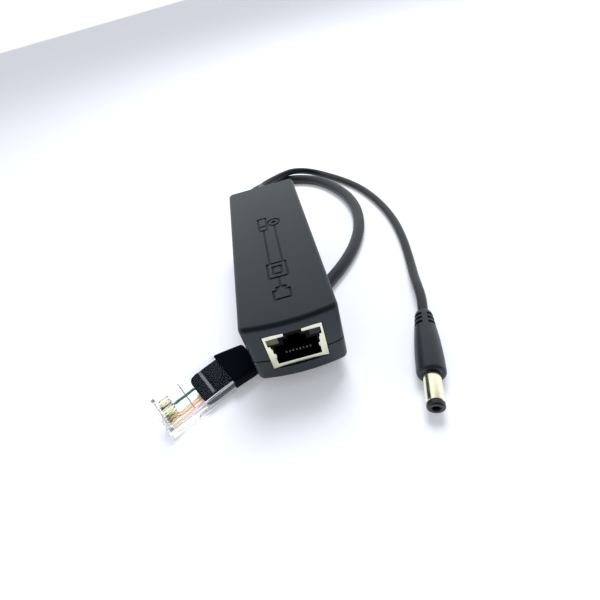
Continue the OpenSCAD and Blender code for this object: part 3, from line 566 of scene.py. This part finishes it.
def relief(name, x, d, node):
    """A bush turned about the lead: a flange inside the wall, a collar outside it, and a
    tapering neck cut by grooves."""
    seat = d + 2 * RELIEF_T - 2 * FIT
    collar = seat + 2 * RELIEF_T
    inner = TAIL_Y - WALL - FIT - 1.5
    neck = [(seat / 2, TAIL_Y + 1.8)]
    taper = (seat / 2 - d / 2 - 0.5) / (RELIEF_L - 1.8)
    for k in range(4):
        s = 1.1 + k * 1.55
        r = seat / 2 - taper * s
        neck += [(r, TAIL_Y + 1.8 + s), (r - 0.45, TAIL_Y + 2.0 + s),
                 (r - 0.5, TAIL_Y + 2.45 + s), (r - 0.1, TAIL_Y + 2.6 + s)]
    outer = [(d / 2 + 0.5, TAIL_Y + RELIEF_L - 0.3), (d / 2 + 0.3, TAIL_Y + RELIEF_L)]
    profile = [(0.4, inner), (collar / 2, inner), (collar / 2, inner + 1.5), (seat / 2, inner + 1.5),
               (seat / 2, TAIL_Y + FIT), (collar / 2 - 0.3, TAIL_Y + FIT), (collar / 2, TAIL_Y + 0.5),
               (collar / 2 - 0.3, TAIL_Y + 1.3)] + neck + outer + [(0.4, TAIL_Y + RELIEF_L)]
    piece = lathe(name, round_corners(profile, 0.25, 3), boot_rubber,
                  lambda p: np.stack([p[..., 0] + x, p[..., 2], SEAM_Z - p[..., 1]], -1),
                  turns=72, ring_profile=True)
    own(piece, node)
    return piece


network_relief = relief("network_relief", -LEAD_X, NETWORK_D, "network_strain_relief")
power_relief = relief("power_relief", LEAD_X, POWER_D, "power_strain_relief")


# Network plug

def heading(points):
    v = points[-1] - points[-2]
    return math.degrees(math.atan2(v[1], v[0]))


def turn(axis, degrees):
    return np.array(Matrix.Rotation(math.radians(degrees), 3, axis))


NETWORK_HEADING = heading(network_points)
yaw = turn("Z", NETWORK_HEADING)
plug_at = np.array([network_points[-1][0] + BOOT_L * yaw[0, 0],
                    network_points[-1][1] + BOOT_L * yaw[1, 0], TABLE_Z + PLUG_LIFT])
plug_turn = yaw @ turn("X", PLUG_ROLL)
# Gilt in the middle of each contact and painted shade at its ends, where they are sunk
band(contact_gold, plug_at, plug_turn[:, 0], PLUG_L - 4.75, PLUG_L - 2.65, 0.25,
     (0.93, 0.85, 0.5), (0.05, 0.045, 0.03))
# Painted reflection: the clear plastic round the contacts is tinted with their gilt colour
band(clear_body, plug_at, plug_turn[:, 0], PLUG_L - 5.2, PLUG_L - 1.8, 0.5,
     (1, 0.985, 0.88), (0.99, 0.99, 0.995))
CAVITY_W, CAVITY_H, CAVITY_L, CAVITY_TOP, NOSE_GAP = 9.7, 5.0, 10.0, -0.9, 0.15


def soft_rect(hw, hh, r, n=8):
    """A rectangle with round corners, drawn as four arcs."""
    r = min(r, hw - 0.01, hh - 0.01)
    return np.concatenate([arc([hw - r, -hh + r], r, -90, 0, n), arc([hw - r, hh - r], r, 0, 90, n),
                           arc([-hw + r, hh - r], r, 90, 180, n),
                           arc([-hw + r, -hh + r], r, 180, 270, n)])


def boot():
    """Round-cornered sections carried along the plug: the section grows from the cable to the
    plug's width, turns with the plug's roll, then steps down into the plug's cavity."""
    tail_z = network_points[-1][2] + BOOT_LIFT - plug_at[2]
    roll = math.radians(PLUG_ROLL)
    mid = np.array([PLUG_H / 2 * math.sin(roll), -PLUG_H / 2 * math.cos(roll)])
    deep = CAVITY_TOP - CAVITY_H / 2
    nose = np.array([-deep * math.sin(roll), deep * math.cos(roll)])
    hw = PLUG_W / 2 - 0.15
    nw, nh = CAVITY_W / 2 - NOSE_GAP, CAVITY_H / 2 - NOSE_GAP
    # place, middle across and up, half width, half height, turn, corner radius
    keys = np.array([
        [-BOOT_L, 0, tail_z, hw - 1.2, PLUG_H / 2 - 1, roll, 1.8],
        [-BOOT_L + 0.1, 0, tail_z, hw - 0.8, PLUG_H / 2 - 0.6, roll, 1.9],
        [-BOOT_L + 0.5, 0, tail_z, hw - 0.45, PLUG_H / 2 - 0.25, roll, 2],
        [-BOOT_L * 0.66, mid[0] * 0.3, tail_z * 0.72 + mid[1] * 0.28, hw - 0.2, PLUG_H / 2 - 0.15,
         roll, 1.7],
        [-BOOT_L * 0.3, mid[0] * 0.75, tail_z * 0.25 + mid[1] * 0.75, hw - 0.1, PLUG_H / 2 - 0.1,
         roll, 1.2],
        [-0.7, mid[0], mid[1], hw, PLUG_H / 2 - 0.1, roll, 0.9],
        [-0.3, mid[0], mid[1], hw - 0.06, PLUG_H / 2 - 0.16, roll, 0.9],
        [-NOSE_GAP, mid[0], mid[1], hw - 0.25, PLUG_H / 2 - 0.35, roll, 0.8],
        [-NOSE_GAP + 0.02, nose[0], nose[1], nw, nh, roll, 0.8],
        [CAVITY_L - 2.6, nose[0], nose[1], nw, nh, roll, 0.8],
        [CAVITY_L - 1.1, nose[0], nose[1], nw - 0.3, nh - 0.15, roll, 0.8],
        [CAVITY_L - 0.45, nose[0], nose[1], nw - 0.8, nh - 0.4, roll, 0.8],
        [CAVITY_L - NOSE_GAP, nose[0], nose[1], nw - 1.6, nh - 0.8, roll, 0.7]])
    fine = np.concatenate([np.linspace(a, b, 5)[:-1] for a, b in zip(keys[:-1, 0], keys[1:, 0])]
                          + [keys[-1:, 0]])
    k = np.stack([np.interp(fine, keys[:, 0], keys[:, i]) for i in range(7)], -1)
    rings = []
    for x, y, z, w, h, a, r in k:
        s = soft_rect(w, h, r)
        rings.append(np.c_[np.full(len(s), x), y + s[:, 0] * math.cos(a) - s[:, 1] * math.sin(a),
                           z + s[:, 0] * math.sin(a) + s[:, 1] * math.cos(a)])
    return np.stack(rings) @ yaw.T + plug_at


plug_boot = surface("plug_boot", boot(), boot_rubber)
own(plug_boot, "network_plug_boot")
plug_body = dress("network_plug_body", "plug_body", clear_body, 0.12, 2)


def in_plug(name, low, high, material):
    """A box in the plug's own frame: along it, across it and up from its top face."""
    box = cutter_box(low, high)
    box.name = name
    flat = np.empty(len(box.data.vertices) * 3)
    box.data.vertices.foreach_get("co", flat)
    turned = (flat.reshape(-1, 3) / MM) @ plug_turn.T + plug_at
    box.data.vertices.foreach_set("co", (turned * MM).ravel())
    box.data.materials[0] = material
    return box


strain_wedge = in_plug("strain_wedge", [5.6, -4.3, CAVITY_TOP - NOSE_GAP + 0.01],
                       [6.5, 4.3, CAVITY_TOP - 0.01], wedge_grey)
bevel(strain_wedge, 0.05)
own(strain_wedge, "network_plug_body")
# Painted light that shows in the clear plastic: painted shade in the crease over the wires, a
# painted reflection along the inner edge of the tip and painted dark reflections at its two ends
plug_painted_marks = [
    in_plug("crease_shade_line", [12.78, -4.8, -0.29], [13.02, 4.8, -0.15], crease_shade_paint),
    in_plug("tip_edge_reflection_line", [PLUG_L - 1.25, -5.1, -0.7], [PLUG_L - 0.95, 5.1, -0.5], tip_edge_reflection_paint),
    in_plug("tip_corner_reflection_a", [PLUG_L - 1.7, -5.65, -1.0], [PLUG_L - 0.7, -4.95, -0.5], tip_corner_reflection_paint),
    in_plug("tip_corner_reflection_b", [PLUG_L - 1.7, 4.95, -1.0], [PLUG_L - 0.7, 5.65, -0.5], tip_corner_reflection_paint)]
for piece in plug_painted_marks:
    own(piece, "network_plug_body")


# Wires in the plug: the two data pairs, at the places of contacts 1, 2, 3 and 6
def wire(name, k, colour, spread):
    """A tube from the boot's nose to its contact, its middle line easing from spread to the
    contact's place by a smooth step."""
    material = finish(name + "_jacket", colour, 0.35, mottle=0.08, mottle_size=1, rough_swing=0.05)
    x = np.linspace(CAVITY_L - 0.6, PLUG_L - 1.8, 28)
    t = np.clip((x - x[0]) / 4.5, 0, 1)
    ease = t * t * (3 - 2 * t)
    y = spread + ((k - 3.5) * 1.02 - spread) * ease
    a = np.linspace(0, 2 * np.pi, 20, endpoint=False)
    r = 0.42
    points = np.stack([np.repeat(x[:, None], 20, 1), y[:, None] + r * np.cos(a),
                       -3.5 + r * np.sin(a) + np.zeros((28, 1))], -1)
    return surface(name, points @ plug_turn.T + plug_at, material)


plug_wires = [wire("wire_white_orange", 7, (0.85, 0.62, 0.5), 3.2),
              wire("wire_orange", 6, (0.85, 0.42, 0.26), 2.2),
              wire("wire_white_green", 5, (0.68, 0.8, 0.7), 1.2),
              wire("wire_green", 2, (0.01, 0.13, 0.09), -1.6)]
for piece in plug_wires:
    own(piece, "network_plug_wires")


# Power plug: distances run from where the cord enters the grip to the tip

POWER_HEADING = heading(power_points)
power_turn = turn("Z", POWER_HEADING) @ turn("Y", 90)


def at_power_plug(p):
    return p @ power_turn.T + power_points[-1]


def grip():
    """The grip's profile turned about the cord: a domed end, a long taper, a rolled rim and a
    flat face; then three slots are cut into each side of its thin end."""
    r = GRIP_D / 2
    line = [(POWER_D / 2 - 0.3, 0), (POWER_D / 2 + 0.45, 0), (r * 0.6, 0.42), (r * 0.66, 1.1),
            (r * 0.7, 2), (r * 0.81, 6.8), (r * 0.92, GRIP_L * 0.48), (r * 0.98, GRIP_L * 0.66),
            (r, GRIP_L * 0.8), (r, GRIP_L - 0.6), (r - 0.5, GRIP_L), (BARREL_D / 2 + 0.12, GRIP_L),
            (BARREL_D / 2 + 0.05, GRIP_L - 0.25), (1.9, GRIP_L - 0.25)]
    piece = lathe("grip", round_corners(line, 0.9, 6), grip_rubber, at_power_plug,
                  ring_profile=False)
    cuts = []
    for k in range(3):
        for side in (-1, 1):
            box = cutter_box([-6, min(side * 0.8, side * 7), 1.85 + k * 1.8],
                             [6, max(side * 0.8, side * 7), 2.9 + k * 1.8])
            flat = np.empty(len(box.data.vertices) * 3)
            box.data.vertices.foreach_get("co", flat)
            box.data.vertices.foreach_set(
                "co", (at_power_plug(flat.reshape(-1, 3) / MM) * MM).ravel())
            cuts.append(box)
    carve(piece, cuts)
    bevel(piece, 0.1, 2)
    return piece


power_grip = grip()
own(power_grip, "power_plug_grip")
# The cord's sleeve, which closes the slots; its near-black finish is painted shade for the slots
grip_core = lathe("grip_core", [(0.05, 1), (1.95, 1), (1.95, 8), (0.05, 8)], socket_black,
                  at_power_plug, turns=48)
own(grip_core, "power_plug_grip")

sleeve = BARREL_D / 2 - 0.35 - 0.45
barrel_end = GRIP_L + BARREL_L - TIP_T
barrel = lathe("barrel", round_corners(
    [(sleeve, GRIP_L - 1), (BARREL_D / 2 - 0.1, GRIP_L - 0.24), (BARREL_D / 2, GRIP_L - 0.2),
     (BARREL_D / 2, barrel_end - 0.15), (BARREL_D / 2 - 0.15, barrel_end), (sleeve, barrel_end)],
    0.1, 3), barrel_plate, at_power_plug, turns=128)
own(barrel, "power_plug_barrel")
tip = lathe("tip", round_corners(
    [(1.1, GRIP_L + 1), (1.1, GRIP_L + BARREL_L - 0.25), (1.3, GRIP_L + BARREL_L),
     (BARREL_D / 2 - 0.25, GRIP_L + BARREL_L), (BARREL_D / 2, GRIP_L + BARREL_L - 0.35),
     (BARREL_D / 2, barrel_end + 0.06), (BARREL_D / 2 - 0.2, barrel_end), (sleeve - 0.05, barrel_end),
     (sleeve - 0.05, GRIP_L + 1)], 0.2, 4), tip_plastic, at_power_plug, turns=128)
own(tip, "power_plug_insulator")

network_lead = lead("network_lead", network_line, NETWORK_D, network_jacket)
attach(network_lead, "root")
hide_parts("network_cable")
power_lead = lead("power_lead", power_line, POWER_D, power_jacket)
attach(power_lead, "root")
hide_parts("power_cord")


# Table, light and camera

def table():
    """A white sheet that shows as white and keeps the shadows of the part."""
    half = 3000.0
    ring = np.array([[-half, -half], [half, -half], [half, half], [-half, half]])
    mesh = bpy.data.meshes.new("table")
    mesh.from_pydata((np.c_[ring, np.full(4, TABLE_Z)] * MM).tolist(), [], [[0, 1, 2, 3]])
    piece = bpy.data.objects.new("table", mesh)
    bpy.context.scene.collection.objects.link(piece)
    m = bpy.data.materials.new("white_sheet")
    m.use_nodes = True
    nt = m.node_tree
    bsdf = nt.nodes["Principled BSDF"]
    bsdf.inputs["Base Color"].default_value = (0.86, 0.89, 0.98, 1)
    bsdf.inputs["Roughness"].default_value = 0.9
    bsdf.inputs["Specular IOR Level"].default_value = 0.1
    rays = nt.nodes.new("ShaderNodeLightPath")
    seen = nt.nodes.new("ShaderNodeMath")
    seen.operation = "MAXIMUM"
    seen_all = nt.nodes.new("ShaderNodeMath")
    seen_all.operation = "MAXIMUM"
    nt.links.new(rays.outputs["Is Camera Ray"], seen.inputs[0])
    nt.links.new(rays.outputs["Is Glossy Ray"], seen.inputs[1])
    nt.links.new(seen.outputs[0], seen_all.inputs[0])
    nt.links.new(rays.outputs["Is Transmission Ray"], seen_all.inputs[1])
    lift = nt.nodes.new("ShaderNodeMath")
    lift.operation = "MULTIPLY"
    lift.inputs[1].default_value = 0.21
    nt.links.new(seen_all.outputs[0], lift.inputs[0])
    bsdf.inputs["Emission Color"].default_value = (1, 1, 1, 1)
    nt.links.new(lift.outputs[0], bsdf.inputs["Emission Strength"])
    mesh.materials.append(m)


def sky():
    """A white surround where it is seen, an even one where it lights, and where it is mirrored
    one that is white low down behind the part and dark overhead and in front."""
    world = bpy.data.worlds.new("studio")
    bpy.context.scene.world = world
    world.use_nodes = True
    world.cycles.sampling_method = "NONE"
    nt = world.node_tree
    even = nt.nodes["Background"]
    even.inputs["Color"].default_value = (0.95, 0.97, 1, 1)
    even.inputs["Strength"].default_value = 0.52
    white = nt.nodes.new("ShaderNodeBackground")
    white.inputs["Color"].default_value = (1, 1, 1, 1)
    white.inputs["Strength"].default_value = 1.0
    mirrored = nt.nodes.new("ShaderNodeBackground")
    mirrored.inputs["Color"].default_value = (0.97, 0.99, 1, 1)
    way = nt.nodes.new("ShaderNodeTexCoord")
    facing = nt.nodes.new("ShaderNodeVectorMath")
    facing.operation = "DOT_PRODUCT"
    facing.inputs[1].default_value = (0.05, -0.84, 0.54)
    nt.links.new(way.outputs["Generated"], facing.inputs[0])
    dark = nt.nodes.new("ShaderNodeMapRange")
    dark.interpolation_type = "SMOOTHSTEP"
    dark.inputs["From Min"].default_value = 0.0
    dark.inputs["From Max"].default_value = 0.5
    dark.inputs["To Min"].default_value = 1.15
    dark.inputs["To Max"].default_value = 0.04
    nt.links.new(facing.outputs["Value"], dark.inputs["Value"])
    nt.links.new(dark.outputs["Result"], mirrored.inputs["Strength"])
    rays = nt.nodes.new("ShaderNodeLightPath")
    seen_all = nt.nodes.new("ShaderNodeMath")
    seen_all.operation = "MAXIMUM"
    nt.links.new(rays.outputs["Is Camera Ray"], seen_all.inputs[0])
    nt.links.new(rays.outputs["Is Transmission Ray"], seen_all.inputs[1])
    lit = nt.nodes.new("ShaderNodeMixShader")
    nt.links.new(rays.outputs["Is Glossy Ray"], lit.inputs["Fac"])
    nt.links.new(even.outputs["Background"], lit.inputs[1])
    nt.links.new(mirrored.outputs["Background"], lit.inputs[2])
    mix = nt.nodes.new("ShaderNodeMixShader")
    nt.links.new(seen_all.outputs[0], mix.inputs["Fac"])
    nt.links.new(lit.outputs["Shader"], mix.inputs[1])
    nt.links.new(white.outputs["Background"], mix.inputs[2])
    nt.links.new(mix.outputs["Shader"], nt.nodes["World Output"].inputs["Surface"])


def soft_box(name, at, target, size, watts):
    """A square lamp at a point, facing a target, both in metres."""
    light = bpy.data.lights.new(name, "AREA")
    light.size = size
    light.energy = watts
    lamp = bpy.data.objects.new(name, light)
    lamp.visible_glossy = False
    bpy.context.scene.collection.objects.link(lamp)
    z = np.array(at, float) - np.array(target, float)
    z /= np.linalg.norm(z)
    x = np.cross([0, 0, 1], z)
    x /= np.linalg.norm(x)
    y = np.cross(z, x)
    lamp.matrix_world = Matrix([[*r, a] for r, a in zip(np.stack([x, y, z], 1), at)] + [[0, 0, 0, 1]])


def camera():
    """The photograph's viewpoint, solved from the housing, the socket and the plug."""
    data = bpy.data.cameras.new("camera")
    data.sensor_width = 36
    data.lens = 22.556
    data.clip_start = 0.005
    data.clip_end = 20
    cam = bpy.data.objects.new("camera", data)
    bpy.context.scene.collection.objects.link(cam)
    right = [0.9639, -0.1679, -0.2066]
    up = [0.2659, 0.6501, 0.7118]
    back = [0.0148, -0.7411, 0.6713]
    at = [0.00574, -0.10787, 0.07841]
    turned = np.stack([right, up, back], 1)
    u, _, v = np.linalg.svd(turned)
    turned = u @ v
    cam.matrix_world = Matrix([[*r, a] for r, a in zip(turned, at)] + [[0, 0, 0, 1]])
    bpy.context.scene.camera = cam


table()
sky()
soft_box("key", [0.14, 0.26, 0.58], [0, 0, 0], 0.3, 2.8)
camera()
bpy.context.scene.view_settings.view_transform = "Standard"
